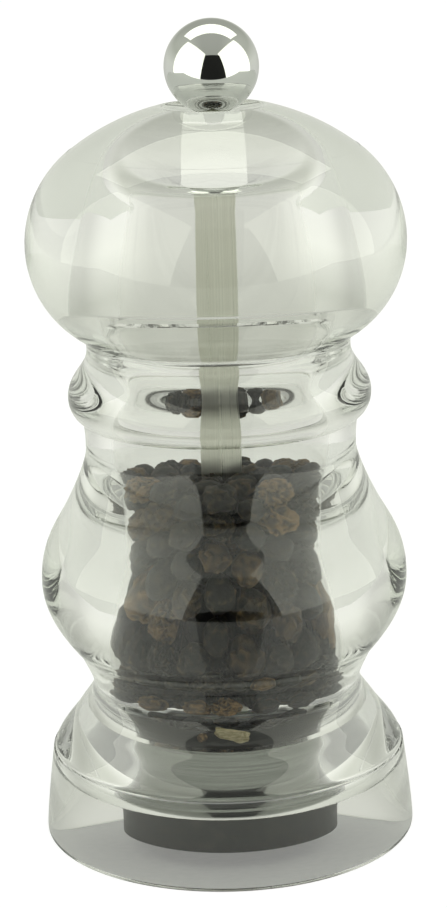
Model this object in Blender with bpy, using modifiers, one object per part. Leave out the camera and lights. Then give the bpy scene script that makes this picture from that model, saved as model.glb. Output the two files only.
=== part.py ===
"""Clear acrylic pepper mill with a ball knob, a square drive rod and a conical grinder.

Metres, +Z up, the middle of the base rim at the origin. Every length below is named in
millimetres and turned into metres where a mesh is made.
"""
import math

import bmesh
import bpy
from mathutils import Vector

MM = 0.001
GAP = 0.3                      # clearance kept between pieces that touch in real life

# ---- driving dimensions, in millimetres --------------------------------------------
BASE_RADIUS = 26.0
SEAM_Z = 70.1                  # top face of the body, where the head turns
HEAD_BOTTOM_Z = SEAM_Z + GAP
HEAD_WIDEST_Z = 83.4
HEAD_RADIUS = 25.76
DOME_RADIUS = 32.0             # big arc over the top of the head
DOME_TOP_Z = 102.6             # where that arc would end if the ball had no dish
CEILING_Z = 89.5               # top of the hollow in the head
HOLLOW_LOW_RADIUS = 13.6       # the hollow narrows upwards, so that its core draws out
HOLLOW_TOP_RADIUS = 11.7

KNOB_RADIUS = 6.35
KNOB_Z = 106.85
DISH_RIM_RADIUS = 7.3          # shallow dish that the ball stands in
DISH_LOW_Z = 100.2

SHAFT_SIDE = 4.0               # square aluminium rod
THREAD_RADIUS = 1.9            # M4 ends, turned on the same rod; two turns of the knob
                               # on the 0.7 mm pitch lower the rotor by 1.4 mm
SQUARE_LOW_Z = 6.3             # ends of the square part of the rod
SQUARE_HIGH_Z = 99.2
SQUARE_HOLE_SIDE = SHAFT_SIDE + 2 * GAP
ROD_LOW_Z = 2.3
ROD_CORNER = 0.15
TAPPED_DEPTH = 8.0             # blind hole in the ball

HOPPER_TOP_RADIUS = 13.8
HOPPER_BOTTOM_RADIUS = 16.15   # the core that forms the hopper is drawn out downwards
MECHANISM_RADIUS = 17.2        # bore that holds the chrome collar
MECHANISM_TOP_Z = 16.2
SKIRT_CEILING_Z = 8.6
SKIRT_HOLLOW_RADIUS = 24.1
SKIRT_CEILING_RADIUS = 20.4

LIP_HEIGHT = 7.2               # spigot that centres the head on the body
LIP_RADIUS = HOPPER_TOP_RADIUS + 1.7
EDGE = 0.3                     # small corners rounded off by the mould

HOUSING_TOP_Z = 15.7
HOUSING_BOTTOM_Z = 2.4
HOUSING_RADIUS = 14.4
THROAT_RADIUS = 9.7
STATOR_TOP_Z = 11.0
STATOR_BOTTOM_Z = 3.6
STATOR_RADIUS = 12.9
STATOR_TEETH = 24
ROTOR_TOP_Z = 10.6
ROTOR_SHOULDER_Z = 9.6
ROTOR_BOTTOM_Z = 3.0
ROTOR_TEETH = 16
BRIDGE_TOP_Z = 20.1
BRIDGE_THICKNESS = 1.2
BRIDGE_WIDTH = 11.0
BRIDGE_REACH = 14.8
BRIDGE_SCREW_RADIUS = 13.3     # where the two screws stand
WASHER_BORE = 3.15
THRUST_WASHER = (5.3, 17.1, 17.7)      # outer radius, low and high face
SPRING_SEAT = (5.4, 10.9, 11.5)
ROTOR_WASHER = (4.9, 5.4, 6.0)
NUT_RADIUS = 3.5
NUT_LOW_Z = 2.8
NUT_HIGH_Z = 5.1
CLIP_RADIUS = 12.55
CLIP_Z = 2.95
CLIP_WIRE = 0.6
CLIP_OPENING = 34.0            # degrees left open, for fitting it
SPRING_LOW_Z = SPRING_SEAT[2] + GAP
SPRING_HIGH_Z = THRUST_WASHER[1] - GAP
SPRING_RADIUS = 4.3
SPRING_WIRE = 0.7
SPRING_TURNS = 2.5             # active turns between the two closed end turns
END_TURN_GAP = 0.15

BIG_SEGMENTS = 36
SMALL_SEGMENTS = 24
SHADE_ANGLE = math.radians(32)


# ---- scene ------------------------------------------------------------------------
def empty_scene():
    """Remove whatever the scene holds, and make the two collections."""
    for old in list(bpy.data.objects):
        bpy.data.objects.remove(old, do_unlink=True)
    made = []
    for title in ("pepper_mill", "pepper_mill_cutters"):
        collection = bpy.data.collections.new(title)
        bpy.context.scene.collection.children.link(collection)
        made.append(collection)
    return made


PARTS, CUTTERS = empty_scene()


def material(name, colour, roughness, metallic=0.0, alpha=1.0):
    """A Principled material with one colour."""
    made = bpy.data.materials.new(name)
    made.use_nodes = True
    shader = made.node_tree.nodes["Principled BSDF"]
    shader.inputs["Base Color"].default_value = (*colour, 1.0)
    shader.inputs["Roughness"].default_value = roughness
    shader.inputs["Metallic"].default_value = metallic
    shader.inputs["Alpha"].default_value = alpha
    made.diffuse_color = (*colour, alpha)
    return made


ACRYLIC = material("clear_acrylic", (0.86, 0.89, 0.86), 0.04, alpha=0.35)
CHROME = material("chrome_plate", (0.72, 0.73, 0.74), 0.08, 1.0)
ALUMINIUM = material("drawn_aluminium", (0.60, 0.60, 0.56), 0.32, 1.0)
BLACK_ACETAL = material("black_acetal", (0.03, 0.03, 0.03), 0.45)
WHITE_NYLON = material("white_nylon", (0.75, 0.74, 0.70), 0.5)
DARK_STEEL = material("hardened_steel", (0.16, 0.16, 0.16), 0.4, 1.0)
BRIGHT_STEEL = material("bright_steel", (0.55, 0.55, 0.54), 0.3, 1.0)


# ---- shape helpers ------------------------------------------------------------------
def metres(*lengths):
    """A vector in metres from lengths in millimetres."""
    return Vector(lengths) * MM


def arc(centre, radius, start, end, steps):
    """Points of a round arc in the (radius, height) plane; angles in degrees, from +r."""
    points = []
    for step in range(steps + 1):
        angle = math.radians(start + (end - start) * step / steps)
        points.append((centre[0] + radius * math.cos(angle), centre[1] + radius * math.sin(angle)))
    return points


def bend(start, pull_start, pull_end, end, steps):
    """Points of a cubic curve between two ends, pulled towards two others."""
    points = []
    for step in range(steps + 1):
        t = step / steps
        weights = ((1 - t) ** 3, 3 * t * (1 - t) ** 2, 3 * t * t * (1 - t), t ** 3)
        corners = (start, pull_start, pull_end, end)
        points.append(tuple(sum(w * c[axis] for w, c in zip(weights, corners)) for axis in (0, 1)))
    return points


def joined(*stretches):
    """One outline from several stretches, without the points that repeat."""
    outline = []
    for stretch in stretches:
        for point in stretch:
            if not outline or math.dist(point, outline[-1]) > 0.02:
                outline.append(point)
    return outline


def place(name, mesh, surface, collection=None):
    """Put a mesh into the scene as a named object."""
    made = bpy.data.objects.new(name, mesh)
    (collection or PARTS).objects.link(made)
    if surface:
        mesh.materials.append(surface)
    return made


def smooth(made):
    """Shade round faces smooth and keep the real edges."""
    made.data.shade_smooth()
    made.data.set_sharp_from_angle(angle=SHADE_ANGLE)
    return made


def turned(name, outline, surface, segments=SMALL_SEGMENTS, ring=True, collection=None):
    """A turned piece: an outline in millimetres, run round Z by a Screw modifier.

    The outline runs down the outer side. A ring's outline is closed; any other piece's
    outline starts and ends on the axis.
    """
    mesh = bpy.data.meshes.new(name)
    count = len(outline)
    edges = [(index, index + 1) for index in range(count - 1)]
    if ring:
        edges.append((count - 1, 0))
    mesh.from_pydata([metres(radius, 0.0, height) for radius, height in outline], edges, [])
    made = place(name, mesh, surface, collection)
    screw = made.modifiers.new("turning", "SCREW")
    screw.axis = "Z"
    screw.steps = segments
    screw.render_steps = segments
    screw.use_merge_vertices = True
    screw.merge_threshold = 0.00001
    screw.use_smooth_shade = True
    return made


def cylinder(name, radius, low, high, surface=None, collection=None, sides=SMALL_SEGMENTS, centre=(0, 0)):
    """An upright cylinder primitive between two heights."""
    mesh = bpy.data.meshes.new(name)
    work = bmesh.new()
    bmesh.ops.create_cone(work, cap_ends=True, segments=sides, radius1=radius * MM, radius2=radius * MM,
                          depth=(high - low) * MM)
    work.to_mesh(mesh)
    work.free()
    made = place(name, mesh, surface, collection)
    made.location = metres(centre[0], centre[1], (low + high) / 2)
    return made


def block(name, size, middle, surface=None, collection=None, turn=0.0):
    """A box primitive with its sides in millimetres, turned about Z by an angle in degrees."""
    mesh = bpy.data.meshes.new(name)
    work = bmesh.new()
    bmesh.ops.create_cube(work, size=1.0)
    bmesh.ops.scale(work, verts=work.verts, vec=metres(*size))
    work.to_mesh(mesh)
    work.free()
    made = place(name, mesh, surface, collection)
    made.location = metres(*middle)
    made.rotation_euler = (0.0, 0.0, math.radians(turn))
    return made


def cutter(made):
    """Mark an object as a tool that only cuts or joins."""
    made.hide_render = True
    made.display_type = "WIRE"
    return made


def combine(made, tool, how):
    """Cut or join a piece with a tool by an exact Boolean."""
    step = made.modifiers.new(how.lower() + "_" + tool.name, "BOOLEAN")
    step.operation = how
    step.object = cutter(tool)
    step.solver = "EXACT"
    return made


def square_hole(made, low, high):
    """Cut the rod's square hole right through a piece that lies between two heights."""
    size = (SQUARE_HOLE_SIDE, SQUARE_HOLE_SIDE, high - low + 2.0)
    tool = block(made.name + "_square_hole", size, (0, 0, (low + high) / 2), collection=CUTTERS, turn=45.0)
    return combine(made, tool, "DIFFERENCE")


def toothed(name, sections, count, surface):
    """A body lofted through toothed sections.

    Each section is (tip radius, root radius, height, twist in degrees), and the sections
    run in order round the closed outline, so the last one joins the first.
    """
    work = bmesh.new()
    rings = []
    for tip, root, height, twist in sections:
        ring = []
        for step in range(2 * count):
            angle = math.pi * step / count + math.radians(twist)
            radius = tip if step % 2 == 0 else root
            ring.append(work.verts.new(metres(radius * math.cos(angle), radius * math.sin(angle), height)))
        rings.append(ring)
    for upper, lower in zip(rings, rings[1:] + rings[:1]):
        for step in range(2 * count):
            after = (step + 1) % (2 * count)
            work.faces.new((upper[step], lower[step], lower[after], upper[after]))
    bmesh.ops.recalc_face_normals(work, faces=work.faces)
    mesh = bpy.data.meshes.new(name)
    work.to_mesh(mesh)
    work.free()
    return place(name, mesh, surface)


# ---- clear acrylic ------------------------------------------------------------------
def head():
    """Domed head: solid acrylic over a tapered hollow, with a square hole for the rod."""
    dome_centre_z = DOME_TOP_Z - DOME_RADIUS
    rim_z = dome_centre_z + math.sqrt(DOME_RADIUS ** 2 - DISH_RIM_RADIUS ** 2)
    depth = rim_z - DISH_LOW_Z
    dish_radius = (DISH_RIM_RADIUS ** 2 + depth ** 2) / (2 * depth)
    slope = math.degrees(math.asin(DISH_RIM_RADIUS / dish_radius))
    dome_start = math.degrees(math.acos(DISH_RIM_RADIUS / DOME_RADIUS))

    side_centre = (9.9, HEAD_WIDEST_Z)
    side_radius = HEAD_RADIUS - side_centre[0]
    meet = math.degrees(math.atan2(side_centre[1] - dome_centre_z, side_centre[0]))
    under_centre = (11.16, HEAD_WIDEST_Z)
    under_radius = HEAD_RADIUS - under_centre[0]
    corner = 0.3
    under_end = -math.degrees(math.asin((HEAD_WIDEST_Z - HEAD_BOTTOM_Z - corner) / under_radius))

    rebate_radius = LIP_RADIUS + GAP + 0.1
    rebate_top = HEAD_BOTTOM_Z + LIP_HEIGHT + GAP
    hollow_corner = 2.4
    outline = joined(
        arc((0.0, DISH_LOW_Z + dish_radius), dish_radius, -90.0, -90.0 + slope, 5),
        arc((0.0, dome_centre_z), DOME_RADIUS, dome_start, meet, 6),
        arc(side_centre, side_radius, meet, 0.0, 8),
        arc(under_centre, under_radius, 0.0, under_end, 9),
        [(17.6, HEAD_BOTTOM_Z), (rebate_radius, HEAD_BOTTOM_Z), (rebate_radius, rebate_top)],
        [(HOLLOW_LOW_RADIUS, rebate_top)],
        arc((HOLLOW_TOP_RADIUS - hollow_corner, CEILING_Z - hollow_corner), hollow_corner, 0.0, 90.0, 5),
        [(0.0, CEILING_Z)],
    )
    made = turned("head", outline, ACRYLIC, BIG_SEGMENTS, ring=False)
    return square_hole(made, CEILING_Z, DOME_TOP_Z)


def body():
    """Body: neck, bead, pepper bulge and hollow base skirt in one moulded piece."""
    bead_z = 62.6
    bead_radius = 20.76
    bulge_z = 36.7
    bulge_radius = 25.4
    rim_round = 0.5
    lip_top = SEAM_Z + LIP_HEIGHT
    outline = joined(
        [(HOPPER_TOP_RADIUS + EDGE, lip_top), (LIP_RADIUS - EDGE, lip_top), (LIP_RADIUS, lip_top - EDGE)],
        [(LIP_RADIUS, SEAM_Z), (18.0 - EDGE, SEAM_Z), (18.0, SEAM_Z - EDGE)],
        bend((18.0, 69.2), (18.0, 66.6), (bead_radius, 65.6), (bead_radius, bead_z), 7),
        bend((bead_radius, bead_z), (bead_radius, 60.9), (20.0, 60.0), (18.85, 59.2), 5),
        bend((18.85, 59.2), (18.65, 58.0), (18.55, 56.5), (18.6, 55.0), 2),
        bend((18.6, 55.0), (18.75, 53.0), (21.0, 48.2), (22.33, 46.0), 5),
        bend((22.33, 46.0), (23.66, 43.8), (bulge_radius, 41.2), (bulge_radius, bulge_z), 5),
        bend((bulge_radius, bulge_z), (bulge_radius, 33.4), (23.9, 30.6), (21.3, 27.35), 6),
        bend((21.3, 27.35), (20.95, 26.9), (20.75, 26.85), (20.5, 26.3), 2),
        bend((20.5, 26.3), (20.0, 25.25), (19.5, 24.3), (19.05, 23.2), 2),
        bend((19.05, 23.2), (18.78, 22.55), (18.7, 22.1), (18.7, 21.6), 2),
        bend((18.7, 21.6), (18.7, 20.4), (20.2, 18.9), (21.3, 17.2), 4),
        bend((21.3, 17.2), (22.1, 16.0), (23.7, 14.5), (24.4, 12.75), 4),
        [(24.4, 12.4), (24.72, 12.2)],
        bend((24.75, 12.0), (25.15, 9.0), (25.75, 4.5), (BASE_RADIUS, 1.0), 3),
        arc((BASE_RADIUS - rim_round, rim_round), rim_round, 0.0, -90.0, 3),
        [(SKIRT_HOLLOW_RADIUS + 0.4, 0.0), (SKIRT_HOLLOW_RADIUS, 0.4)],
        [(SKIRT_CEILING_RADIUS + 0.1, SKIRT_CEILING_Z - 0.4), (SKIRT_CEILING_RADIUS - 0.3, SKIRT_CEILING_Z)],
        [(MECHANISM_RADIUS, SKIRT_CEILING_Z), (MECHANISM_RADIUS, MECHANISM_TOP_Z)],
        [(HOPPER_BOTTOM_RADIUS, MECHANISM_TOP_Z), (HOPPER_TOP_RADIUS, lip_top - EDGE)],
    )
    return turned("body", outline, ACRYLIC, BIG_SEGMENTS)


# ---- knob and rod -------------------------------------------------------------------
def knob():
    """Chrome ball, tapped from below."""
    mesh = bpy.data.meshes.new("knob_ball")
    work = bmesh.new()
    bmesh.ops.create_uvsphere(work, u_segments=SMALL_SEGMENTS, v_segments=14, radius=KNOB_RADIUS * MM)
    work.to_mesh(mesh)
    work.free()
    made = place("knob_ball", mesh, CHROME)
    made.location = metres(0, 0, KNOB_Z)
    smooth(made)
    tapped = cylinder("knob_tapped_hole", THREAD_RADIUS + GAP, KNOB_Z - TAPPED_DEPTH, KNOB_Z, collection=CUTTERS, sides=20)
    return combine(made, tapped, "DIFFERENCE")


def shaft():
    """Square rod turned down to a thread at both ends; its corners point along X and Y."""
    made = block("shaft", (SHAFT_SIDE, SHAFT_SIDE, SQUARE_HIGH_Z - SQUARE_LOW_Z),
                 (0, 0, (SQUARE_LOW_Z + SQUARE_HIGH_Z) / 2), ALUMINIUM, turn=45.0)
    bevel = made.modifiers.new("drawn_corners", "BEVEL")
    bevel.width = ROD_CORNER * MM
    bevel.segments = 1
    rooted = 1.0               # how far each thread reaches into the square part
    ends = (("shaft_top_thread", SQUARE_HIGH_Z - rooted, KNOB_Z - 0.8),
            ("shaft_low_thread", ROD_LOW_Z, SQUARE_LOW_Z + rooted))
    for title, low, high in ends:
        combine(made, cylinder(title, THREAD_RADIUS, low, high, collection=CUTTERS, sides=16), "UNION")
    return made


# ---- grinder ------------------------------------------------------------------------
def collar():
    """Chrome sleeve pressed into the base, round the grinder housing."""
    low, high, outer, inner, edge = 8.1, 15.9, MECHANISM_RADIUS - GAP, 15.9, 0.25
    outline = [(outer - edge, high), (outer, high - edge), (outer, low + edge), (outer - edge, low),
               (inner, low), (inner, high)]
    return turned("collar", outline, CHROME, BIG_SEGMENTS)


def housing():
    """Black carrier: hopper floor above, stator seat below."""
    flange = 15.6
    outline = [
        (flange, HOUSING_TOP_Z), (flange, 9.3), (HOUSING_RADIUS, 8.9),
        (HOUSING_RADIUS, HOUSING_BOTTOM_Z + 0.4), (HOUSING_RADIUS - 0.4, HOUSING_BOTTOM_Z),
        (STATOR_RADIUS + GAP, HOUSING_BOTTOM_Z), (STATOR_RADIUS + GAP, STATOR_TOP_Z + GAP),
        (THROAT_RADIUS, STATOR_TOP_Z + GAP), (THROAT_RADIUS, 12.4), (11.9, HOUSING_TOP_Z),
    ]
    made = turned("housing", outline, BLACK_ACETAL, BIG_SEGMENTS)
    for side in (-1, 1):
        hole = cylinder("housing_screw_hole", 1.0, 12.2, 18.0, collection=CUTTERS, sides=12,
                        centre=(side * BRIDGE_SCREW_RADIUS, 0))
        combine(made, hole, "DIFFERENCE")
    return made


def bridge():
    """Steel strip, bent up in the middle, that crosses the hopper floor and holds the spring."""
    foot_z = HOUSING_TOP_Z + GAP
    top, thick, reach = BRIDGE_TOP_Z, BRIDGE_THICKNESS, BRIDGE_REACH
    rise_foot, rise_top = 11.2, 7.6
    half = [(rise_top, top), (rise_foot, foot_z + thick), (reach, foot_z + thick), (reach, foot_z),
            (rise_foot - 0.6, foot_z), (rise_top - 0.6, top - thick)]
    outline = half + [(-x, z) for x, z in reversed(half)]
    curve = bpy.data.curves.new("bridge_strip", "CURVE")
    curve.dimensions = "2D"
    curve.fill_mode = "BOTH"
    curve.extrude = BRIDGE_WIDTH / 2 * MM
    spline = curve.splines.new("POLY")
    spline.points.add(len(outline) - 1)
    for point, (x, z) in zip(spline.points, outline):
        point.co = (x * MM, z * MM, 0.0, 1.0)
    spline.use_cyclic_u = True
    strip = bpy.data.objects.new("bridge_strip", curve)
    PARTS.objects.link(strip)
    strip.rotation_euler = (math.pi / 2, 0.0, 0.0)
    bpy.context.view_layer.update()
    mesh = bpy.data.meshes.new_from_object(strip.evaluated_get(bpy.context.evaluated_depsgraph_get()))
    work = bmesh.new()
    work.from_mesh(mesh)
    bmesh.ops.remove_doubles(work, verts=work.verts, dist=0.00001)
    work.to_mesh(mesh)
    work.free()
    made = place("bridge", mesh, BRIGHT_STEEL)
    made.matrix_world = strip.matrix_world.copy()
    bpy.data.objects.remove(strip, do_unlink=True)
    combine(made, cylinder("bridge_centre_hole", 3.95, 17.0, 22.0, collection=CUTTERS, sides=24), "DIFFERENCE")
    for side in (-1, 1):
        hole = cylinder("bridge_screw_hole", 1.1, 14.0, 19.0, collection=CUTTERS, sides=12,
                        centre=(side * BRIDGE_SCREW_RADIUS, 0))
        combine(made, hole, "DIFFERENCE")
    return made


def bridge_screw(name, side):
    """Round-headed screw through one foot of the bridge."""
    foot_top = HOUSING_TOP_Z + GAP + BRIDGE_THICKNESS
    head_low = foot_top + GAP
    outline = joined(
        [(0.0, head_low + 0.8), (0.7, head_low + 0.72), (1.2, head_low + 0.42), (1.35, head_low)],
        [(0.7, head_low), (0.7, 13.0), (0.3, 12.6), (0.0, 12.6)],
    )
    made = turned(name, outline, BRIGHT_STEEL, 16, ring=False)
    made.location = metres(side * BRIDGE_SCREW_RADIUS, 0, 0)
    slot = block(name + "_slot", (0.45, 3.2, 1.0), (side * BRIDGE_SCREW_RADIUS, 0, head_low + 0.4 + 0.5),
                 collection=CUTTERS)
    return combine(made, slot, "DIFFERENCE")


def washer(name, inner, outer, low, high):
    """Flat steel ring."""
    return turned(name, [(outer, high), (outer, low), (inner, low), (inner, high)], BRIGHT_STEEL)


def bearing_bush():
    """Nylon bush that the rod turns in, with a flange under the bridge."""
    top, plate_low = BRIDGE_TOP_Z + 0.5, BRIDGE_TOP_Z - BRIDGE_THICKNESS
    flange_top, flange_low = plate_low - GAP, plate_low - GAP - 0.6
    sleeve, flange = 3.65, 5.4
    outline = [(sleeve, top), (sleeve, flange_top), (flange, flange_top), (flange, flange_low),
               (WASHER_BORE, flange_low), (WASHER_BORE, top)]
    return turned("bearing_bush", outline, WHITE_NYLON)


def spring(low, high):
    """Compression spring: a loop of points up a helix, with flat end turns."""
    per_turn = 12
    end_turns = 1.0
    total = SPRING_TURNS + 2 * end_turns
    start, finish = low + SPRING_WIRE / 2, high - SPRING_WIRE / 2
    closed = SPRING_WIRE + END_TURN_GAP
    curve = bpy.data.curves.new("spring", "CURVE")
    curve.dimensions = "3D"
    curve.bevel_depth = SPRING_WIRE / 2 * MM
    curve.bevel_resolution = 1
    curve.use_fill_caps = True
    spline = curve.splines.new("POLY")
    count = int(total * per_turn) + 1
    spline.points.add(count - 1)
    for index, point in enumerate(spline.points):
        turn = index / per_turn
        if turn <= end_turns:
            height = start + closed * turn / end_turns
        elif turn >= total - end_turns:
            height = finish - closed * (total - turn) / end_turns
        else:
            share = (turn - end_turns) / SPRING_TURNS
            height = start + closed + (finish - start - 2 * closed) * share
        angle = 2 * math.pi * turn
        point.co = (*metres(SPRING_RADIUS * math.cos(angle), SPRING_RADIUS * math.sin(angle), height), 1.0)
    made = bpy.data.objects.new("spring", curve)
    PARTS.objects.link(made)
    curve.materials.append(BRIGHT_STEEL)
    return made


def rotor():
    """Male grinder: skewed teeth on a cone, wide at the bottom, with a square hole."""
    made = toothed("rotor", [
        (4.6, 4.6, ROTOR_TOP_Z, 0.0),
        (4.6, 4.6, ROTOR_SHOULDER_Z, 0.0),
        (6.6, 5.2, ROTOR_SHOULDER_Z - 0.5, 4.0),
        (8.8, 7.6, 6.2, 16.0),
        (9.75, 9.1, 4.2, 24.0),
        (9.75, 9.3, ROTOR_BOTTOM_Z, 27.0),
        (6.0, 6.0, ROTOR_BOTTOM_Z, 27.0),
        (5.6, 5.6, 6.7, 27.0),
        (2.0, 2.0, 6.7, 14.0),
        (2.0, 2.0, ROTOR_TOP_Z, 0.0),
    ], ROTOR_TEETH, DARK_STEEL)
    return square_hole(made, SQUARE_LOW_Z, ROTOR_TOP_Z)


def stator():
    """Female grinder: toothed ring, close to the rotor only at the bottom."""
    return toothed("stator", [
        (STATOR_RADIUS, STATOR_RADIUS, STATOR_TOP_Z, 0.0),
        (STATOR_RADIUS, STATOR_RADIUS, STATOR_BOTTOM_Z, 0.0),
        (10.25, 11.1, STATOR_BOTTOM_Z, 0.0),
        (10.1, 10.9, 5.6, -6.0),
        (9.75, 11.3, STATOR_TOP_Z, -14.0),
    ], STATOR_TEETH, DARK_STEEL)


def stator_clip():
    """Wire snap ring under the stator: an arc of wire with a gap for fitting it."""
    curve = bpy.data.curves.new("stator_clip", "CURVE")
    curve.dimensions = "3D"
    curve.bevel_depth = CLIP_WIRE / 2 * MM
    curve.bevel_resolution = 1
    curve.use_fill_caps = True
    spline = curve.splines.new("POLY")
    steps = 32
    spline.points.add(steps)
    for index, point in enumerate(spline.points):
        angle = math.radians(90.0 + CLIP_OPENING / 2 + (360.0 - CLIP_OPENING) * index / steps)
        point.co = (*metres(CLIP_RADIUS * math.cos(angle), CLIP_RADIUS * math.sin(angle), CLIP_Z), 1.0)
    made = bpy.data.objects.new("stator_clip", curve)
    PARTS.objects.link(made)
    curve.materials.append(BRIGHT_STEEL)
    return made


def rotor_nut():
    """Hexagon nut on the lower thread, inside the rotor's hollow."""
    made = cylinder("rotor_nut", NUT_RADIUS, NUT_LOW_Z, NUT_HIGH_Z, BRIGHT_STEEL, sides=6)
    tapped = cylinder("rotor_nut_hole", THREAD_RADIUS + GAP, NUT_LOW_Z - 1, NUT_HIGH_Z + 1,
                      collection=CUTTERS, sides=20)
    return combine(made, tapped, "DIFFERENCE")


head()
body()
knob()
shaft()
collar()
housing()
bridge()
bridge_screw("bridge_screw_left", -1)
bridge_screw("bridge_screw_right", 1)
bearing_bush()
washer("thrust_washer", WASHER_BORE, *THRUST_WASHER)
spring(SPRING_LOW_Z, SPRING_HIGH_Z)
washer("spring_seat", WASHER_BORE, *SPRING_SEAT)
rotor()
washer("rotor_washer", THREAD_RADIUS + GAP, *ROTOR_WASHER)
rotor_nut()
stator()
stator_clip()
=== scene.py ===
"""Looks of a clear acrylic pepper mill: moulded acrylic, chrome, aluminium, grinder and peppercorns.

Laid out as a Blender add-on and run as a script. Lengths are named in millimetres and turned
into metres where a mesh is made. Z is up and the base rim stands on Z = 0.
"""
import math

import bmesh
import bpy
import numpy as np
from bpy.props import FloatProperty, FloatVectorProperty, IntProperty, PointerProperty
from mathutils import Euler, Matrix, Vector, noise


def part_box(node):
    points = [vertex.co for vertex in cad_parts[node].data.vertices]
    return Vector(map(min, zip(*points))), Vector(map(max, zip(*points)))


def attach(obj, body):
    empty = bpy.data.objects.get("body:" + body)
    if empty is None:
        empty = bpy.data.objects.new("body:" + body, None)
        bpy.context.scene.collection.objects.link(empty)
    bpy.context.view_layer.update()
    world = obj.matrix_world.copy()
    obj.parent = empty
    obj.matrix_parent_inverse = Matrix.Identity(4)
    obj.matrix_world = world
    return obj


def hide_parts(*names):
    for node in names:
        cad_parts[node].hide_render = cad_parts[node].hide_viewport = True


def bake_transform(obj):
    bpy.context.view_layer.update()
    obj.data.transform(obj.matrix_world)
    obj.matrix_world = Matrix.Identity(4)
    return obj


bl_info = {
    "name": "Acrylic Pepper Mill",
    "version": (1, 0, 0),
    "blender": (4, 5, 0),
    "location": "3D View > Sidebar > Pepper Mill",
    "description": "Builds a clear pepper mill with its grinder, peppercorns and studio",
    "category": "Add Mesh",
}

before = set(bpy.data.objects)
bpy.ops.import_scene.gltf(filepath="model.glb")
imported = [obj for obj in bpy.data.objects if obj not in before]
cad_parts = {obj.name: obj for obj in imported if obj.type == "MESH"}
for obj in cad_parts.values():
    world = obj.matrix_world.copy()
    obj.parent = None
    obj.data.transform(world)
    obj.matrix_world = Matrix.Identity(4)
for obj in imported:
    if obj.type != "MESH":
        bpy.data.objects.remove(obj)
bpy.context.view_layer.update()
MM = 0.001
GAP = 0.3
SHARP_ANGLE = math.radians(31)
FINE_TURN = 180            # steps round the clear pieces; a multiple of four for the square hole
PLAIN_TURN = 96


# ---- where things are, read from the frame ------------------------------------------
def reach(node):
    """Radius or half width, low height and high height of a CAD node, in millimetres."""
    low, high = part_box(node)
    return (high.x - low.x) / 2 / MM, low.z / MM, high.z / MM


KNOB_RADIUS, KNOB_LOW, KNOB_HIGH = reach("knob_ball")
KNOB_Z = KNOB_HIGH - KNOB_RADIUS
HEAD_RADIUS, HEAD_BOTTOM_Z, _ = reach("head")
BASE_RADIUS, _, LIP_TOP_Z = reach("body")
COLLAR_RADIUS, COLLAR_LOW, COLLAR_HIGH = reach("collar")
FLANGE_RADIUS, HOUSING_LOW, HOUSING_HIGH = reach("housing")
STATOR_RADIUS, STATOR_LOW, STATOR_HIGH = reach("stator")
ROTOR_RADIUS, ROTOR_LOW, ROTOR_HIGH = reach("rotor")
BRIDGE_REACH, BRIDGE_LOW, BRIDGE_HIGH = reach("bridge")
SEAM_Z = HEAD_BOTTOM_Z - GAP
SCREW_X = (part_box("bridge_screw_right")[0].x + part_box("bridge_screw_right")[1].x) / 2 / MM


# ---- colours -----------------------------------------------------------------------
def linear(code):
    """Linear red, green, blue and alpha of an sRGB hex colour."""
    levels = [int(code[at:at + 2], 16) / 255 for at in (1, 3, 5)]
    return tuple(v / 12.92 if v <= 0.04045 else ((v + 0.055) / 1.055) ** 2.4 for v in levels) + (1.0,)


class PepperMillSizes(bpy.types.PropertyGroup):
    """Sizes that a user would change."""
    rod_side: FloatProperty(name="Rod side", description="Side of the square drive rod", default=4.0 * MM,
                            min=2.0 * MM, max=6.0 * MM, unit="LENGTH")
    spring_wire: FloatProperty(name="Spring wire", description="Diameter of the spring's wire",
                               default=0.7 * MM, min=0.4 * MM, max=1.0 * MM, unit="LENGTH")
    corn_small: FloatProperty(name="Smallest corn", description="Diameter of the smallest peppercorn",
                              default=3.7 * MM, min=2.5 * MM, max=5.0 * MM, unit="LENGTH")
    corn_large: FloatProperty(name="Largest corn", description="Diameter of the largest peppercorn",
                              default=5.1 * MM, min=3.0 * MM, max=6.0 * MM, unit="LENGTH")
    fill_level: FloatProperty(name="Fill level", description="Height of the top of the peppercorns",
                              default=52.8 * MM, min=24.0 * MM, max=68.0 * MM, unit="LENGTH")
    corn_count: IntProperty(name="Corns poured", description="Peppercorns poured in before levelling",
                            default=330, min=1, max=500)


class PepperMillColours(bpy.types.PropertyGroup):
    """Colours that a user would change."""
    acrylic: FloatVectorProperty(name="Acrylic", description="Tint that the clear acrylic gives to light",
                                 default=linear("#F6F8F4"), size=4, min=0.0, max=1.0, subtype="COLOR")
    dark_corn: FloatVectorProperty(name="Dark corn", description="Skin of most peppercorns",
                                   default=linear("#1C1A11"), size=4, min=0.0, max=1.0, subtype="COLOR")
    brown_corn: FloatVectorProperty(name="Brown corn", description="Skin of the browner peppercorns",
                                    default=linear("#5B4828"), size=4, min=0.0, max=1.0, subtype="COLOR")
    table: FloatVectorProperty(name="Table", description="Pale table that shows through the acrylic",
                               default=linear("#D0D1D0"), size=4, min=0.0, max=1.0, subtype="COLOR")


# ---- outlines ----------------------------------------------------------------------
def arc(centre, radius, start, end, steps):
    """Points of a round arc in the (radius, height) plane; angles in degrees, from +r."""
    angles = np.radians(np.linspace(start, end, steps + 1))
    return [(centre[0] + radius * math.cos(a), centre[1] + radius * math.sin(a)) for a in angles]


def bend(start, pull_start, pull_end, end, steps):
    """Points of a cubic curve between two ends, pulled towards two others."""
    t = np.linspace(0.0, 1.0, steps + 1)[:, None]
    corners = [np.array(corner) for corner in (start, pull_start, pull_end, end)]
    weights = ((1 - t) ** 3, 3 * t * (1 - t) ** 2, 3 * t * t * (1 - t), t ** 3)
    return [tuple(point) for point in sum(w * c for w, c in zip(weights, corners))]


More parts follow.
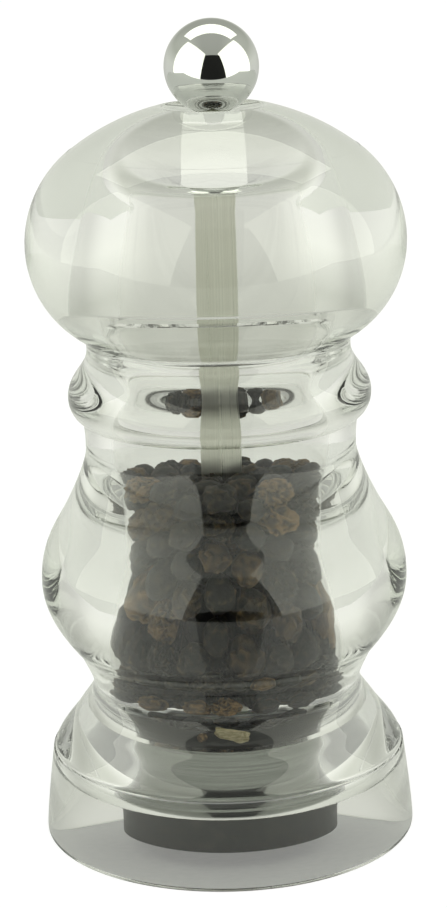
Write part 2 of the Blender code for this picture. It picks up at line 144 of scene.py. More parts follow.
def joined(*stretches):
    """One outline from several stretches, without the points that repeat."""
    outline = []
    for stretch in stretches:
        for point in stretch:
            if not outline or math.dist(point, outline[-1]) > 0.02:
                outline.append(point)
    return outline


def eased(corners, radius, steps=3):
    """A closed outline with every corner rounded, as on a tumbled or moulded edge."""
    outline = []
    count = len(corners)
    for at, corner in enumerate(corners):
        here = np.array(corner, float)
        before = np.array(corners[at - 1], float) - here
        after = np.array(corners[(at + 1) % count], float) - here
        cut = min(radius, 0.45 * np.linalg.norm(before), 0.45 * np.linalg.norm(after))
        start = here + before / np.linalg.norm(before) * cut
        end = here + after / np.linalg.norm(after) * cut
        outline += bend(tuple(start), tuple((start + 2 * here) / 3), tuple((end + 2 * here) / 3), tuple(end), steps)
    return outline


# ---- meshes ------------------------------------------------------------------------
def place(name, mesh, finish, body, stands_for=()):
    """Put a finished mesh into the scene, on its body, in place of CAD nodes."""
    made = bpy.data.objects.new(name, mesh)
    bpy.context.scene.collection.objects.link(made)
    mesh.materials.append(finish)
    mesh.shade_smooth()
    mesh.set_sharp_from_angle(angle=SHARP_ANGLE)
    if body:
        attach(made, body)
    if stands_for:
        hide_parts(*stands_for)
    return made


def closed_mesh(name, points, faces):
    """A mesh in metres from points in millimetres, with its faces turned outwards."""
    mesh = bpy.data.meshes.new(name)
    mesh.from_pydata([tuple(c * MM for c in point) for point in points], [], faces)
    work = bmesh.new()
    work.from_mesh(mesh)
    bmesh.ops.recalc_face_normals(work, faces=work.faces)
    work.to_mesh(mesh)
    work.free()
    return mesh


def turned(name, rows, steps=PLAIN_TURN, closed=True):
    """A turned body. Each row is (radius, height), or a function of the angle that gives both.

    A closed outline makes a ring. An open one runs from axis to axis.
    """
    angles = [2 * math.pi * step / steps for step in range(steps)]
    points, rings, faces = [], [], []
    for row in rows:
        if not callable(row) and row[0] < 1e-6:
            rings.append([len(points)] * steps)
            points.append((0.0, 0.0, row[1]))
            continue
        rings.append(list(range(len(points), len(points) + steps)))
        for angle in angles:
            radius, height = row(angle) if callable(row) else row
            points.append((radius * math.cos(angle), radius * math.sin(angle), height))
    pairs = list(zip(rings, rings[1:]))
    if closed:
        pairs.append((rings[-1], rings[0]))
    for upper, lower in pairs:
        for step in range(steps):
            after = (step + 1) % steps
            corners = (upper[step], lower[step], lower[after], upper[after])
            faces.append(tuple(dict.fromkeys(corners)))
    return closed_mesh(name, points, faces)


def tube(name, path, radius, sides=12):
    """A round wire along a path in millimetres, with closed ends."""
    path = [Vector(point) for point in path]
    points, faces = [], []
    side = None
    for at, here in enumerate(path):
        along = (path[min(at + 1, len(path) - 1)] - path[max(at - 1, 0)]).normalized()
        if side is None:
            side = along.orthogonal().normalized()
        side = (side - along * side.dot(along)).normalized()
        other = along.cross(side)
        for step in range(sides):
            angle = 2 * math.pi * step / sides
            points.append(tuple(here + (side * math.cos(angle) + other * math.sin(angle)) * radius))
    for at in range(len(path) - 1):
        for step in range(sides):
            after = (step + 1) % sides
            low, high = at * sides, (at + 1) * sides
            faces.append((low + step, low + after, high + after, high + step))
    faces.append(tuple(range(sides)))
    faces.append(tuple(range((len(path) - 1) * sides, len(path) * sides)))
    return closed_mesh(name, points, faces)


def on_square(corner_reach, height):
    """A row that follows a square whose corners point along X and Y."""
    def row(angle):
        radius = corner_reach / (abs(math.cos(angle)) + abs(math.sin(angle)))
        return radius, height(radius) if callable(height) else height
    return row


def lofted(name, sections, count, per_tooth=6):
    """A toothed ring. Each section is (tip radius, root radius, height, twist in degrees).

    Teeth lean like a saw: a steep cutting face and a long back. Sections run round the ring.
    """
    steps = count * per_tooth
    rows = []
    for tip, root, height, twist in sections:
        turn = math.radians(twist)

        def row(angle, tip=tip, root=root, height=height):
            share = (angle / (2 * math.pi) * count) % 1.0
            rise = share / 0.72 if share < 0.72 else (1 - share) / 0.28
            rise = rise * rise * (3 - 2 * rise)
            return root + (tip - root) * rise, height
        rows.append((row, turn))
    points, rings, faces = [], [], []
    for row, turn in rows:
        rings.append(list(range(len(points), len(points) + steps)))
        for step in range(steps):
            angle = 2 * math.pi * step / steps
            radius, height = row(angle)
            points.append((radius * math.cos(angle + turn), radius * math.sin(angle + turn), height))
    for upper, lower in zip(rings, rings[1:] + rings[:1]):
        for step in range(steps):
            after = (step + 1) % steps
            faces.append((upper[step], lower[step], lower[after], upper[after]))
    return closed_mesh(name, points, faces)


def cut(made, tool_mesh, name):
    """Cut a tool mesh out of a piece with an exact Boolean, and apply it."""
    tool = bpy.data.objects.new(name, tool_mesh)
    bpy.context.scene.collection.objects.link(tool)
    step = made.modifiers.new(name, "BOOLEAN")
    step.operation = "DIFFERENCE"
    step.object = tool
    step.solver = "EXACT"
    bpy.context.view_layer.update()
    shape = made.evaluated_get(bpy.context.evaluated_depsgraph_get())
    fresh = bpy.data.meshes.new_from_object(shape)
    made.modifiers.clear()
    made.data = fresh
    fresh.set_sharp_from_angle(angle=SHARP_ANGLE)
    bpy.data.objects.remove(tool, do_unlink=True)
    return made


def upright(name, radius, low, high, steps=48, at=(0.0, 0.0)):
    """A plain round tool between two heights."""
    mesh = turned(name, [(0.0, high), (radius, high), (radius, low), (0.0, low)], steps, closed=False)
    mesh.transform(Matrix.Translation(Vector((at[0], at[1], 0.0)) * MM))
    return mesh


def box_mesh(name, size, middle, bevel=0.0):
    """A block with its sides in millimetres and eased edges."""
    work = bmesh.new()
    bmesh.ops.create_cube(work, size=1.0)
    bmesh.ops.scale(work, verts=work.verts, vec=Vector(size) * MM)
    bmesh.ops.translate(work, verts=work.verts, vec=Vector(middle) * MM)
    if bevel:
        bmesh.ops.bevel(work, geom=work.edges[:], offset=bevel * MM, segments=2, affect="EDGES", profile=0.5)
    mesh = bpy.data.meshes.new(name)
    work.to_mesh(mesh)
    work.free()
    return mesh


# ---- nodes -------------------------------------------------------------------------
def per_mm(size):
    """Texture scale whose pattern repeats about once in this many millimetres."""
    return 1.0 / (size * MM)


def add_node(tree, kind, settings=None, **inputs):
    """Add a node with its settings. An input that is a socket is linked, any other is set."""
    made = tree.nodes.new("ShaderNode" + kind)
    for name, value in (settings or {}).items():
        setattr(made, name, value)
    for name, value in inputs.items():
        socket = made.inputs[int(name[1:])] if name[0] == "_" else made.inputs[name.replace("_", " ")]
        if isinstance(value, bpy.types.NodeSocket):
            tree.links.new(value, socket)
        else:
            socket.default_value = value
    return made


def new_finish(name, **constants):
    """A material, its node tree, its Principled shader and object coordinates."""
    made = bpy.data.materials.new(name)
    made.use_nodes = True
    tree = made.node_tree
    tree.nodes.clear()
    shader = add_node(tree, "BsdfPrincipled", **constants)
    out = add_node(tree, "OutputMaterial", Surface=shader.outputs["BSDF"])
    place_of = add_node(tree, "TexCoord").outputs["Object"]
    return made, tree, shader, out, place_of


def stretch(tree, place_of, x, y, z):
    """Object coordinates scaled apart, for grain that runs one way."""
    return add_node(tree, "Mapping", Vector=place_of, Scale=(x, y, z)).outputs["Vector"]


def ramp(tree, factor, *stops):
    """A colour ramp with (position, colour) stops."""
    made = add_node(tree, "ValToRGB", Fac=factor)
    elements = made.color_ramp.elements
    while len(elements) < len(stops):
        elements.new(0.5)
    for element, (position, colour) in zip(elements, stops):
        element.position = position
        element.color = colour
    return made.outputs["Color"]


def grey(level):
    """A grey as a colour."""
    return (level, level, level, 1.0)


def relief(tree, shader, height, depth):
    """Bump with its depth in millimetres, on the shader's normal."""
    bump = add_node(tree, "Bump", Height=height, Distance=depth * MM, Strength=1.0)
    tree.links.new(bump.outputs["Normal"], shader.inputs["Normal"])


def clear_acrylic():
    """PMMA, injection moulded in polished steel. Clear as glass but softer: the flow of the melt
    leaves a long, faint ripple, and the sink marks of thick walls make reflections swim."""
    made, tree, shader, out, place_of = new_finish(
        "moulded_clear_acrylic", Transmission_Weight=1.0, IOR=1.49, Roughness=0.0)
    shader.inputs["Base Color"].default_value = linear("#FDFDFC")
    flow = add_node(tree, "TexNoise", Vector=stretch(tree, place_of, 1.0, 1.0, 2.0), Scale=per_mm(14.0),
                    Detail=1.0)
    sink = add_node(tree, "TexNoise", Vector=place_of, Scale=per_mm(5.0), Detail=1.0)
    ripple = add_node(tree, "Math", {"operation": "MULTIPLY_ADD"}, _0=sink.outputs["Fac"], _1=0.12,
                      _2=flow.outputs["Fac"])
    relief(tree, shader, ripple.outputs["Value"], 0.02)
    depth = add_node(tree, "VolumeAbsorption", Density=14.0)
    depth.inputs["Color"].default_value = bpy.context.scene.pepper_mill_colours.acrylic
    tree.links.new(depth.outputs["Volume"], out.inputs["Volume"])
    return made


def polished_chrome():
    """Bright nickel-chrome plate on a turned ball, mirror polished. Nearly a perfect mirror, a
    little cool, with a faint haze where fingers have been."""
    made, tree, shader, _, place_of = new_finish("polished_chrome_plate", Metallic=1.0)
    shader.inputs["Base Color"].default_value = linear("#CDCFCC")
    haze = add_node(tree, "TexNoise", Vector=place_of, Scale=per_mm(3.0), Detail=4.0)
    tree.links.new(ramp(tree, haze.outputs["Fac"], (0.4, grey(0.02)), (0.75, grey(0.07))),
                   shader.inputs["Roughness"])
    return made


def rolled_chrome():
    """Chrome plate on rolled tube. Turning lines round it spread its highlights into soft bands."""
    made, tree, shader, _, place_of = new_finish("chrome_plated_tube", Metallic=1.0)
    lines = add_node(tree, "TexNoise", Vector=stretch(tree, place_of, 0.02, 0.02, 1.0), Scale=per_mm(0.35),
                     Detail=2.0)
    tree.links.new(ramp(tree, lines.outputs["Fac"], (0.3, linear("#767974")), (0.7, linear("#979A95"))),
                   shader.inputs["Base Color"])
    tree.links.new(ramp(tree, lines.outputs["Fac"], (0.3, grey(0.07)), (0.7, grey(0.13))),
                   shader.inputs["Roughness"])
    relief(tree, shader, lines.outputs["Fac"], 0.001)
    return made


def drawn_aluminium():
    """Aluminium rod, drawn through a die and left bare. Fine lines run along it, so it shines in
    soft upright streaks and never mirrors."""
    made, tree, shader, _, place_of = new_finish("drawn_aluminium_rod", Metallic=1.0)
    lines = add_node(tree, "TexNoise", Vector=stretch(tree, place_of, 1.0, 1.0, 0.01), Scale=per_mm(0.25),
                     Detail=3.0)
    tree.links.new(ramp(tree, lines.outputs["Fac"], (0.25, linear("#C0C1B6")), (0.75, linear("#D4D5CA"))),
                   shader.inputs["Base Color"])
    tree.links.new(ramp(tree, lines.outputs["Fac"], (0.3, grey(0.26)), (0.7, grey(0.42))),
                   shader.inputs["Roughness"])
    relief(tree, shader, lines.outputs["Fac"], 0.0015)
    return made


def black_acetal():
    """Acetal, injection moulded black. Waxy and half matt, with spark-eroded grain and a film of
    grey pepper dust."""
    made, tree, shader, _, place_of = new_finish("moulded_black_acetal", IOR=1.48)
    dust = add_node(tree, "TexNoise", Vector=place_of, Scale=per_mm(1.4), Detail=6.0, Roughness=0.65)
    tree.links.new(ramp(tree, dust.outputs["Fac"], (0.45, linear("#0F0F0E")), (0.75, linear("#35332C"))),
                   shader.inputs["Base Color"])
    grain = add_node(tree, "TexNoise", Vector=place_of, Scale=per_mm(0.9), Detail=3.0)
    tree.links.new(ramp(tree, dust.outputs["Fac"], (0.35, grey(0.38)), (0.7, grey(0.62))),
                   shader.inputs["Roughness"])
    relief(tree, shader, grain.outputs["Fac"], 0.03)
    return made


def white_nylon():
    """Nylon, moulded and left natural. Milky, a little see-through, with a satin skin."""
    made, tree, shader, _, place_of = new_finish(
        "moulded_white_nylon", IOR=1.53, Subsurface_Weight=0.4, Subsurface_Scale=0.6 * MM)
    cloud = add_node(tree, "TexNoise", Vector=place_of, Scale=per_mm(1.8), Detail=2.0)
    tree.links.new(ramp(tree, cloud.outputs["Fac"], (0.3, linear("#D5D2C4")), (0.7, linear("#EBE8DC"))),
                   shader.inputs["Base Color"])
    tree.links.new(ramp(tree, cloud.outputs["Fac"], (0.3, grey(0.36)), (0.7, grey(0.52))),
                   shader.inputs["Roughness"])
    return made


def hardened_steel():
    """Carbon steel, hobbed, hardened and blackened. Dark with a blue-brown cast, brighter where
    the teeth have rubbed."""
    made, tree, shader, _, place_of = new_finish("blackened_hardened_steel", Metallic=1.0)
    scale = add_node(tree, "TexNoise", Vector=place_of, Scale=per_mm(0.9), Detail=5.0, Roughness=0.6)
    edge = add_node(tree, "NewGeometry").outputs["Pointiness"]
    worn = add_node(tree, "MapRange", Value=edge, From_Min=0.5, From_Max=0.6)
    base = ramp(tree, scale.outputs["Fac"], (0.3, linear("#2A2826")), (0.7, linear("#4C4843")))
    colour = add_node(tree, "Mix", {"data_type": "RGBA"}, _0=worn.outputs["Result"], _6=base,
                      _7=linear("#8F8D88"))
    tree.links.new(colour.outputs[2], shader.inputs["Base Color"])
    tree.links.new(ramp(tree, scale.outputs["Fac"], (0.3, grey(0.34)), (0.7, grey(0.55))),
                   shader.inputs["Roughness"])
    relief(tree, shader, scale.outputs["Fac"], 0.02)
    return made


def bright_steel():
    """Steel strip and wire, zinc plated and passivated. Silver with a soft yellow-blue cast and
    fine rolling lines."""
    made, tree, shader, _, place_of = new_finish("zinc_plated_steel", Metallic=1.0)
    lines = add_node(tree, "TexNoise", Vector=stretch(tree, place_of, 0.03, 1.0, 1.0), Scale=per_mm(0.3),
                     Detail=3.0)
    cast = add_node(tree, "TexNoise", Vector=place_of, Scale=per_mm(4.0), Detail=1.0)
    tree.links.new(ramp(tree, cast.outputs["Fac"], (0.35, linear("#A9A9A1")), (0.65, linear("#B4B8BC"))),
                   shader.inputs["Base Color"])
    tree.links.new(ramp(tree, lines.outputs["Fac"], (0.3, grey(0.22)), (0.7, grey(0.4))),
                   shader.inputs["Roughness"])
    relief(tree, shader, lines.outputs["Fac"], 0.004)
    return made


def pepper_skin():
    """Dried pepper berry, sun dried. The skin shrinks into ridges, near black with an olive or
    red-brown cast and hardly glossy; its colour has painted shade in the creases and a patchy painted highlight on
    the ridges."""
    made, tree, shader, _, place_of = new_finish("dried_pepper_skin", IOR=1.45, Roughness=0.6)
    colours = bpy.context.scene.pepper_mill_colours
    tone = add_node(tree, "Attribute", {"attribute_name": "corn_tone"}).outputs["Fac"]
    ridge = add_node(tree, "Attribute", {"attribute_name": "corn_ridge"}).outputs["Fac"]
    skin = ramp(tree, tone, (0.0, colours.dark_corn), (0.5, linear("#2E281A")), (0.78, colours.brown_corn),
                (1.0, linear("#8F7246")))
    mottle = add_node(tree, "TexNoise", Vector=place_of, Scale=per_mm(0.6), Detail=5.0, Roughness=0.6)
    # painted highlight: the high ridges are lightened towards #74603D where light would catch them, broken into
    # patches by the mottle
    ridge_highlight_mask = add_node(tree, "MapRange", Value=ridge, From_Min=0.5, From_Max=0.95, To_Max=0.8)
    patchy = add_node(tree, "MapRange", Value=mottle.outputs["Fac"], From_Min=0.45, From_Max=0.7)
    painted_ridge_highlight = add_node(tree, "Math", {"operation": "MULTIPLY"}, _0=ridge_highlight_mask.outputs["Result"],
                      _1=patchy.outputs["Result"])
    # painted shade: the skin colour is multiplied down to 0.12 in the creases, where the ridge height is low
    crease_shaded = add_node(tree, "Mix", {"data_type": "RGBA", "blend_type": "MULTIPLY"}, _0=1.0, _6=skin,
                    _7=ramp(tree, ridge, (0.3, grey(0.12)), (0.75, grey(1.0))))
    pale = add_node(tree, "Mix", {"data_type": "RGBA"}, _0=painted_ridge_highlight.outputs["Value"], _6=crease_shaded.outputs[2],
                    _7=linear("#74603D"))
    tree.links.new(pale.outputs[2], shader.inputs["Base Color"])
    fine = add_node(tree, "TexNoise", Vector=place_of, Scale=per_mm(0.4), Detail=4.0)
    relief(tree, shader, fine.outputs["Fac"], 0.16)
    return made


def dry_husk():
    """Flake of pepper husk. Thin, straw coloured and fibrous, matt."""
    made, tree, shader, _, place_of = new_finish("dry_pepper_husk", IOR=1.45, Roughness=0.75)
    fibre = add_node(tree, "TexNoise", Vector=stretch(tree, place_of, 0.3, 1.0, 1.0), Scale=per_mm(0.3),
                     Detail=4.0)
    tree.links.new(ramp(tree, fibre.outputs["Fac"], (0.3, linear("#9C8F66")), (0.7, linear("#DDD4AE"))),
                   shader.inputs["Base Color"])
    relief(tree, shader, fibre.outputs["Fac"], 0.05)
    return made


def lit_floor():
    """White acrylic light table, lit from below. Even and clean, with the faintest shadow."""
    made, tree, shader, _, place_of = new_finish("lit_white_acrylic_floor", Roughness=0.9,
                                                 Emission_Strength=0.86)
    shader.inputs["Emission Color"].default_value = grey(1.0)
    shader.inputs["Specular IOR Level"].default_value = 0.0
    cloud = add_node(tree, "TexNoise", Vector=place_of, Scale=per_mm(120.0), Detail=2.0)
    tree.links.new(ramp(tree, cloud.outputs["Fac"], (0.3, grey(0.24)), (0.7, grey(0.26))),
                   shader.inputs["Base Color"])
    return made


def pale_table():
    """Pale grey laminate table top. Matt, with the faint tooth of its pressed surface."""
    made, tree, shader, _, place_of = new_finish("pale_grey_laminate", IOR=1.45, Roughness=0.8,
                                                 Emission_Strength=0.17)
    shader.inputs["Emission Color"].default_value = grey(1.0)
    shader.inputs["Specular IOR Level"].default_value = 0.1
    tooth = add_node(tree, "TexNoise", Vector=place_of, Scale=per_mm(1.2), Detail=3.0)
    tree.links.new(ramp(tree, tooth.outputs["Fac"], (0.3, linear("#C8CAC9")),
                        (0.7, bpy.context.scene.pepper_mill_colours.table)), shader.inputs["Base Color"])
    return made


FINISHES = {}


def finish(maker):
    """The material that a function makes, made once."""
    if maker.__name__ not in FINISHES:
        FINISHES[maker.__name__] = maker()
    return FINISHES[maker.__name__]


# ---- clear pieces ------------------------------------------------------------------
HOPPER_TOP_RADIUS = 13.8
HOPPER_BOTTOM_RADIUS = 16.15
MECHANISM_TOP_Z = 16.2
SQUARE_HOLE = 4.6 / math.sqrt(2)       # reach of the square hole's corners
DISH_LOW_Z = 100.2                     # bottom of the dish that the ball stands in
LIP_RADIUS = HOPPER_TOP_RADIUS + 1.7   # outside of the spigot that the head turns on


def head_rows():
    """Outline of the domed head, from the ball's dish round the outside and up the hollow."""
    dome_radius, dish_rim = 32.0, 7.3
    dome_centre_z = 102.6 - dome_radius
    widest_z = 83.4
    rim_z = dome_centre_z + math.sqrt(dome_radius ** 2 - dish_rim ** 2)
    deep = rim_z - DISH_LOW_Z
    dish_radius = (dish_rim ** 2 + deep ** 2) / (2 * deep)
    dish_z = DISH_LOW_Z + dish_radius
    slope = math.degrees(math.asin(dish_rim / dish_radius))
    side, under = (9.9, widest_z), (11.16, widest_z)
    meet = math.degrees(math.atan2(side[1] - dome_centre_z, side[0]))
    under_radius = HEAD_RADIUS - under[0]
    under_end = -math.degrees(math.asin((widest_z - HEAD_BOTTOM_Z - 0.3) / under_radius))
    rebate, rebate_top, ceiling, corner = LIP_RADIUS + 0.4, LIP_TOP_Z + 2 * GAP, 89.5, 2.4
    first = math.degrees(math.asin(3.6 / dish_radius))
    start = math.degrees(math.acos((dish_rim + 0.12) / dome_radius))
    return [on_square(SQUARE_HOLE, lambda r: dish_z - math.sqrt(dish_radius ** 2 - r ** 2))] + joined(
        arc((0.0, dish_z), dish_radius, -90.0 + first, -90.0 + slope - 0.4, 14),
        arc((0.0, dome_centre_z), dome_radius, start, meet, 40),
        arc(side, HEAD_RADIUS - side[0], meet, 0.0, 28),
        arc(under, under_radius, 0.0, under_end, 36),
        [(17.6, HEAD_BOTTOM_Z), (rebate + 0.1, HEAD_BOTTOM_Z), (rebate, HEAD_BOTTOM_Z + 0.1)],
        [(rebate, rebate_top - 0.15), (rebate - 0.15, rebate_top), (13.7, rebate_top), (13.6, rebate_top + 0.1)],
        arc((11.7 - corner, ceiling - corner), corner, 6.0, 90.0, 12),
        [(4.0, ceiling)],
    ) + [on_square(SQUARE_HOLE, ceiling)]


def body_rows():
    """Outline of the body: neck, bead, bulge, shoulder and hollow skirt, then the hopper."""
    bead_z, bead, bulge_z, bulge = 62.6, 20.76, 36.7, 25.4
    lip, rim = LIP_RADIUS, 0.5
    ceiling_z, mechanism = 8.6, COLLAR_RADIUS + GAP
    return joined(
        [(HOPPER_TOP_RADIUS + 0.3, LIP_TOP_Z), (lip - 0.3, LIP_TOP_Z), (lip, LIP_TOP_Z - 0.3), (lip, SEAM_Z)],
        [(17.7, SEAM_Z), (17.9, SEAM_Z - 0.08), (18.0, SEAM_Z - 0.3)],
        bend((18.0, 69.2), (18.0, 66.6), (bead, 65.6), (bead, bead_z), 24),
        bend((bead, bead_z), (bead, 60.9), (20.0, 60.0), (18.85, 59.2), 16),
        bend((18.85, 59.2), (18.65, 58.0), (18.55, 56.5), (18.6, 55.0), 8),
        bend((18.6, 55.0), (18.75, 53.0), (21.0, 48.2), (22.33, 46.0), 18),
        bend((22.33, 46.0), (23.66, 43.8), (bulge, 41.2), (bulge, bulge_z), 18),
        bend((bulge, bulge_z), (bulge, 33.4), (23.9, 30.6), (21.3, 27.35), 24),
        bend((21.3, 27.35), (20.95, 26.9), (20.75, 26.85), (20.5, 26.3), 5),
        bend((20.5, 26.3), (20.0, 25.25), (19.5, 24.3), (19.05, 23.2), 6),
        bend((19.05, 23.2), (18.78, 22.55), (18.7, 22.1), (18.7, 21.6), 6),
        bend((18.7, 21.6), (18.7, 20.4), (20.2, 18.9), (21.3, 17.2), 14),
        bend((21.3, 17.2), (22.1, 16.0), (23.7, 14.5), (24.4, 12.75), 14),
        [(24.4, 12.4), (24.5, 12.25), (24.72, 12.2)],
        bend((24.75, 12.0), (25.15, 9.0), (25.75, 4.5), (BASE_RADIUS, 1.0), 14),
        arc((BASE_RADIUS - rim, rim), rim, 0.0, -90.0, 6),
        [(24.5, 0.0), (24.2, 0.12), (24.1, 0.4), (20.5, ceiling_z - 0.4), (20.35, ceiling_z - 0.12)],
        [(20.1, ceiling_z), (mechanism, ceiling_z), (mechanism, MECHANISM_TOP_Z)],
        [(HOPPER_BOTTOM_RADIUS, MECHANISM_TOP_Z), (HOPPER_TOP_RADIUS, LIP_TOP_Z - 0.3)],
    )


class PEPPERMILL_OT_head(bpy.types.Operator):
    """Build the clear domed head with its square hole"""
    bl_idname = "pepper_mill.head"
    bl_label = "Clear head"

    def execute(self, context):
        mesh = turned("clear_head", head_rows(), FINE_TURN)
        place("clear_head", mesh, finish(clear_acrylic), "head", ["head"])
        return {"FINISHED"}


class PEPPERMILL_OT_body(bpy.types.Operator):
    """Build the clear body with its hopper and hollow skirt"""
    bl_idname = "pepper_mill.body"
    bl_label = "Clear body"

    def execute(self, context):
        mesh = turned("clear_body", body_rows(), FINE_TURN)
        place("clear_body", mesh, finish(clear_acrylic), "body", ["body"])
        return {"FINISHED"}


# ---- knob, rod and collar ----------------------------------------------------------
class PEPPERMILL_OT_knob(bpy.types.Operator):
    """Build the chrome ball with its tapped hole"""
    bl_idname = "pepper_mill.knob"
    bl_label = "Ball knob"

    def execute(self, context):
        bore, deep = 2.2, KNOB_Z
        edge = math.degrees(math.asin((bore + 0.35) / KNOB_RADIUS))
        rows = joined(
            [(0.0, KNOB_HIGH)],
            arc((0.0, KNOB_Z), KNOB_RADIUS, 89.0, -90.0 + edge, 72),
            [(bore, KNOB_LOW + 0.75), (bore, deep - 0.6), (0.0, deep)],
        )
        mesh = turned("chrome_ball", rows, PLAIN_TURN, closed=False)
        place("chrome_ball", mesh, finish(polished_chrome), "knob", ["knob_ball"])
        return {"FINISHED"}


class PEPPERMILL_OT_rod(bpy.types.Operator):
    """Build the square drive rod with a thread at each end"""
    bl_idname = "pepper_mill.rod"
    bl_label = "Drive rod"

    def execute(self, context):
        side = context.scene.pepper_mill_sizes.rod_side / MM
        corner = side / math.sqrt(2)
        square_low, square_high = 6.3, 99.2
        _, rod_low, rod_high = reach("shaft")
        core, crest, pitch, steps = 1.6, 1.9, 0.7, 48

        def square(angle):
            sharp = corner / (abs(math.cos(angle)) + abs(math.sin(angle)))
            return min(sharp, corner - 0.06)

        def thread(low, high):
            """Rows of a thread: each row is a helix step, so crests climb as they go round."""
            count = int((high - low) / pitch * 8)
            rows = []
            for at in range(count + 1):
                height = low + (high - low) * at / count

                def row(angle, height=height):
                    turn = (height / pitch - angle / (2 * math.pi)) % 1.0
                    fade = min(1.0, (height - low) / 0.4, (high - height) / 0.4)
                    return core + (crest - core) * (1 - abs(2 * turn - 1)) * max(fade, 0.0), height
                rows.append(row)
            return rows
        levels = (square_low, square_low + 0.2, square_high - 0.2, square_high)
        shank = [lambda a, z=z, s=s: (square(a) * s, z) for z, s in zip(levels, (0.93, 1.0, 1.0, 0.93))]
        rows = [(0.0, rod_low)] + thread(rod_low, square_low) + shank + thread(square_high, rod_high)
        mesh = turned("drive_rod", rows + [(0.0, rod_high)], steps * 2, closed=False)
        place("drive_rod", mesh, finish(drawn_aluminium), "shaft", ["shaft"])
        return {"FINISHED"}


class PEPPERMILL_OT_collar(bpy.types.Operator):
    """Build the chrome sleeve pressed into the base"""
    bl_idname = "pepper_mill.collar"
    bl_label = "Chrome collar"

    def execute(self, context):
        inner = FLANGE_RADIUS + GAP
        rows = eased([(COLLAR_RADIUS, COLLAR_HIGH), (COLLAR_RADIUS, COLLAR_LOW), (inner, COLLAR_LOW),
                      (inner, COLLAR_HIGH)], 0.28)
        mesh = turned("chrome_collar", rows, FINE_TURN)
        place("chrome_collar", mesh, finish(rolled_chrome), "body", ["collar"])
        return {"FINISHED"}


# ---- grinder -----------------------------------------------------------------------
class PEPPERMILL_OT_housing(bpy.types.Operator):
    """Build the black carrier that is the hopper's floor and the stator's seat"""
    bl_idname = "pepper_mill.housing"
    bl_label = "Grinder housing"

    def execute(self, context):
        seat, throat, skirt = STATOR_RADIUS + GAP, 9.7, 14.4
        ledge = STATOR_HIGH + GAP
        rows = eased([
            (FLANGE_RADIUS, HOUSING_HIGH), (FLANGE_RADIUS, 9.3), (skirt, 8.9), (skirt, HOUSING_LOW),
            (seat, HOUSING_LOW), (seat, ledge), (throat, ledge), (throat, 12.4), (11.9, HOUSING_HIGH),
        ], 0.25)
        made = place("grinder_housing", turned("grinder_housing", rows, PLAIN_TURN), finish(black_acetal),
                     "body", ["housing"])
        for side in (-1, 1):
            cut(made, upright("screw_hole", 1.0, 12.2, 18.0, at=(side * SCREW_X, 0.0)), "screw_hole")
        return {"FINISHED"}


class PEPPERMILL_OT_bridge(bpy.types.Operator):
    """Build the bent steel strip over the grinder and its two screws"""
    bl_idname = "pepper_mill.bridge"
    bl_label = "Bridge and screws"

    def execute(self, context):
        thick, width = 1.2, 11.0
        foot, top = BRIDGE_LOW + thick / 2, BRIDGE_HIGH - thick / 2
        middle = joined(
            [(-BRIDGE_REACH, foot), (-12.2, foot)],
            bend((-11.6, foot), (-10.9, foot), (-10.9, foot), (-10.4, foot + 0.5), 6),
            bend((-8.2, top - 0.5), (-7.6, top), (-7.6, top), (-6.9, top), 6),
            [(0.0, top)],
        )
        middle += [(-x, z) for x, z in reversed(middle[:-1])]
        points, faces = [], []
        for at, (x, z) in enumerate(middle):
            before, after = middle[max(at - 1, 0)], middle[min(at + 1, len(middle) - 1)]
            along = Vector((after[0] - before[0], after[1] - before[1])).normalized()
            up = Vector((-along.y, along.x)) * thick / 2
            if abs(x) < 1e-6:
                up = Vector((0.0, thick / 2))
            for side, y in ((-1, -width / 2), (1, -width / 2), (1, width / 2), (-1, width / 2)):
                points.append((x + up.x * side, y, z + up.y * side))
        for at in range(len(middle) - 1):
            for step in range(4):
                low, high, after = at * 4, at * 4 + 4, (step + 1) % 4
                faces.append((low + step, low + after, high + after, high + step))
        faces.append((0, 1, 2, 3))
        faces.append(tuple(range(len(points) - 4, len(points))))
        made = place("bridge_strip", closed_mesh("bridge_strip", points, faces), finish(bright_steel),
                     "body", ["bridge"])
        cut(made, upright("bush_hole", 3.95, 17.0, 22.0, 72), "bush_hole")
        for side in (-1, 1):
            cut(made, upright("foot_hole", 1.1, 14.0, 19.0, at=(side * SCREW_X, 0.0)), "foot_hole")
        bevel = made.modifiers.new("rolled_edges", "BEVEL")
        bevel.width = 0.15 * MM
        bevel.segments = 2
        bevel.limit_method = "ANGLE"
        bevel.angle_limit = math.radians(50)
        for side, name in ((-1, "left"), (1, "right")):
            self.screw(name, side)
        return {"FINISHED"}

    def screw(self, name, side):
        """Round-headed slotted screw."""
        _, low, high = reach("bridge_screw_" + name)
        head_low = high - 0.8
        rows = joined([(0.0, high)], bend((0.3, high), (0.9, high), (1.3, high - 0.35), (1.35, head_low + 0.1), 8),
                      [(1.3, head_low), (0.7, head_low), (0.7, low + 0.4), (0.3, low), (0.0, low)])
        mesh = turned("screw", rows, 48, closed=False)
        mesh.transform(Matrix.Translation(Vector((side * SCREW_X, 0.0, 0.0)) * MM))
        made = place("bridge_screw_head_" + name, mesh, finish(bright_steel), "body",
                     ["bridge_screw_" + name])
        slot = box_mesh("slot", (0.4, 3.2, 1.0), (side * SCREW_X, 0.0, high + 0.12))
        slot.transform(Matrix.Translation(Vector((side * SCREW_X, 0, 0)) * MM)
                       @ Matrix.Rotation(math.radians(25.0 * side + 40.0), 4, "Z")
                       @ Matrix.Translation(Vector((-side * SCREW_X, 0, 0)) * MM))
        cut(made, slot, "slot")


